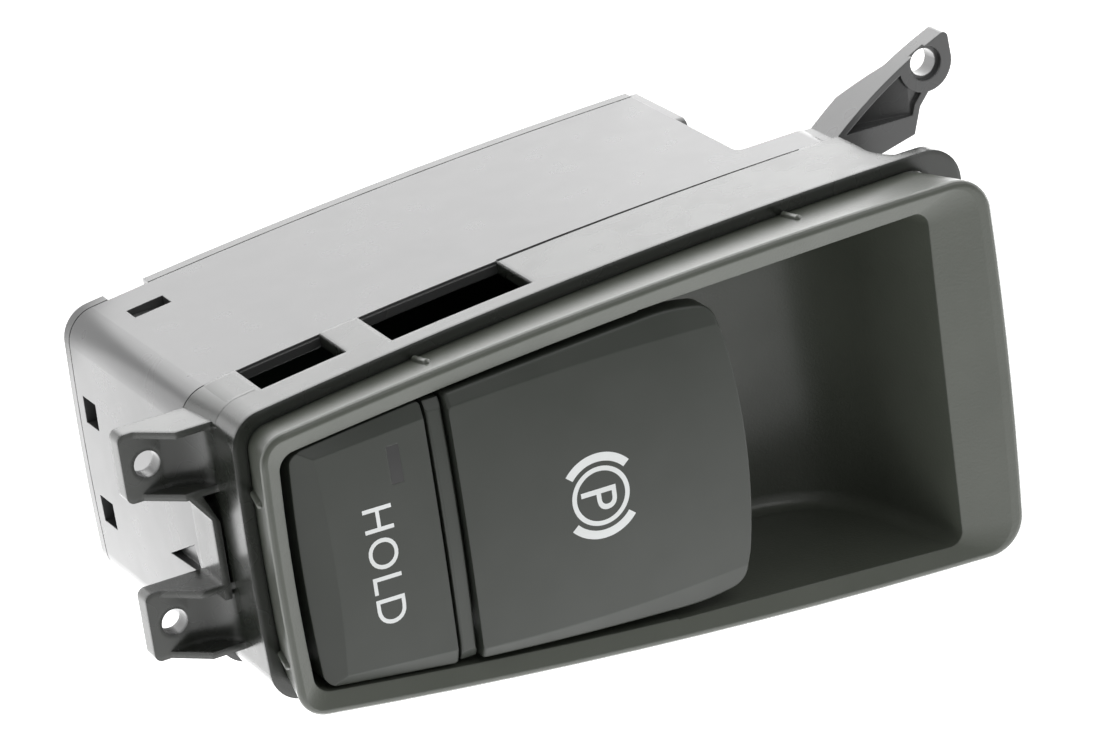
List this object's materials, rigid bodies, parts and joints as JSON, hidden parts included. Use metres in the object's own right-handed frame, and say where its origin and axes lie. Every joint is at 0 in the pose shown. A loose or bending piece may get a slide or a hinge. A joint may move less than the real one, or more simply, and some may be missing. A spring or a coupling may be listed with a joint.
{
  "type": "parking brake switch",
  "caption": "Console switch unit with a rocking parking brake button over a finger recess, a hold push button, a moulded trim bezel, screw ears and a plug-in rear housing.",
  "frame": {"origin": "on the bottom cover's outer face, under the middle of the trim lip", "axes": "+X towards the wide end with the finger recess, +Y towards the side with the mounting arm, +Z out of the trim towards the driver"},
  "size_m": [0.1517, 0.0777, 0.0785],
  "materials": {
    "board_green": "solder mask",
    "chip_black": "matt",
    "clear_guide": "clear gloss",
    "gloss_black": "gloss",
    "led_white": "matt",
    "satin_black": "satin",
    "slider_plastic": "natural matt",
    "smoked_lens": "smoked gloss",
    "soft_black": "fine matt grain",
    "spring_steel": "bright",
    "terminal_brass": "plated"
  },
  "bodies": {
    "housing": {"bezel": "soft_black", "bottom_cover": "gloss_black", "button_hinge_pin": "spring_steel", "circuit_board": "board_green", "connector_shroud": "chip_black", "divider_bar": "satin_black", "front_carrier": "gloss_black", "hold_sensor": "chip_black", "hold_spring": "spring_steel", "lower_brake_spring": "spring_steel", "pull_sensor": "chip_black", "push_sensor": "chip_black", "rear_housing": "gloss_black", "symbol_led": "led_white", "symbol_light_guide": "clear_guide", "terminal_1": "terminal_brass", "terminal_2": "terminal_brass", "terminal_3": "terminal_brass", "terminal_4": "terminal_brass", "terminal_5": "terminal_brass", "terminal_6": "terminal_brass", "terminal_7": "terminal_brass", "terminal_8": "terminal_brass", "upper_brake_spring": "spring_steel"},
    "hold_button": {"hold_button": "satin_black", "hold_indicator_lens": "smoked_lens", "hold_magnet": "spring_steel"},
    "parking_brake_button": {"parking_brake_button": "satin_black"},
    "brake_slider": {"brake_slider": "slider_plastic", "brake_magnet": "spring_steel"}
  },
  "joints": [
    {"name": "brake_rock", "type": "hinge", "parent": "housing", "child": "parking_brake_button", "pos_m": [-0.028, 0, 0.0717], "axis": [0, -1, 0], "range_deg": [-4, 8], "stiffness_Nm_per_rad": 1.5},
    {"name": "slider_lift", "type": "slide", "parent": "housing", "child": "brake_slider", "axis": [0, 0, 1], "range_m": [-0.0015, 0.0029], "deforming": ["upper_brake_spring", "lower_brake_spring"]},
    {"name": "hold_push", "type": "slide", "parent": "housing", "child": "hold_button", "axis": [0, 0, -1], "range_m": [0, 0.0015], "stiffness_N_per_m": 1200, "springref_m": -0.001, "deforming": ["hold_spring"]}
  ],
  "couplings": [
    {"joint": "slider_lift", "follows": "brake_rock", "m_per_rad": 0.02}
  ]
}
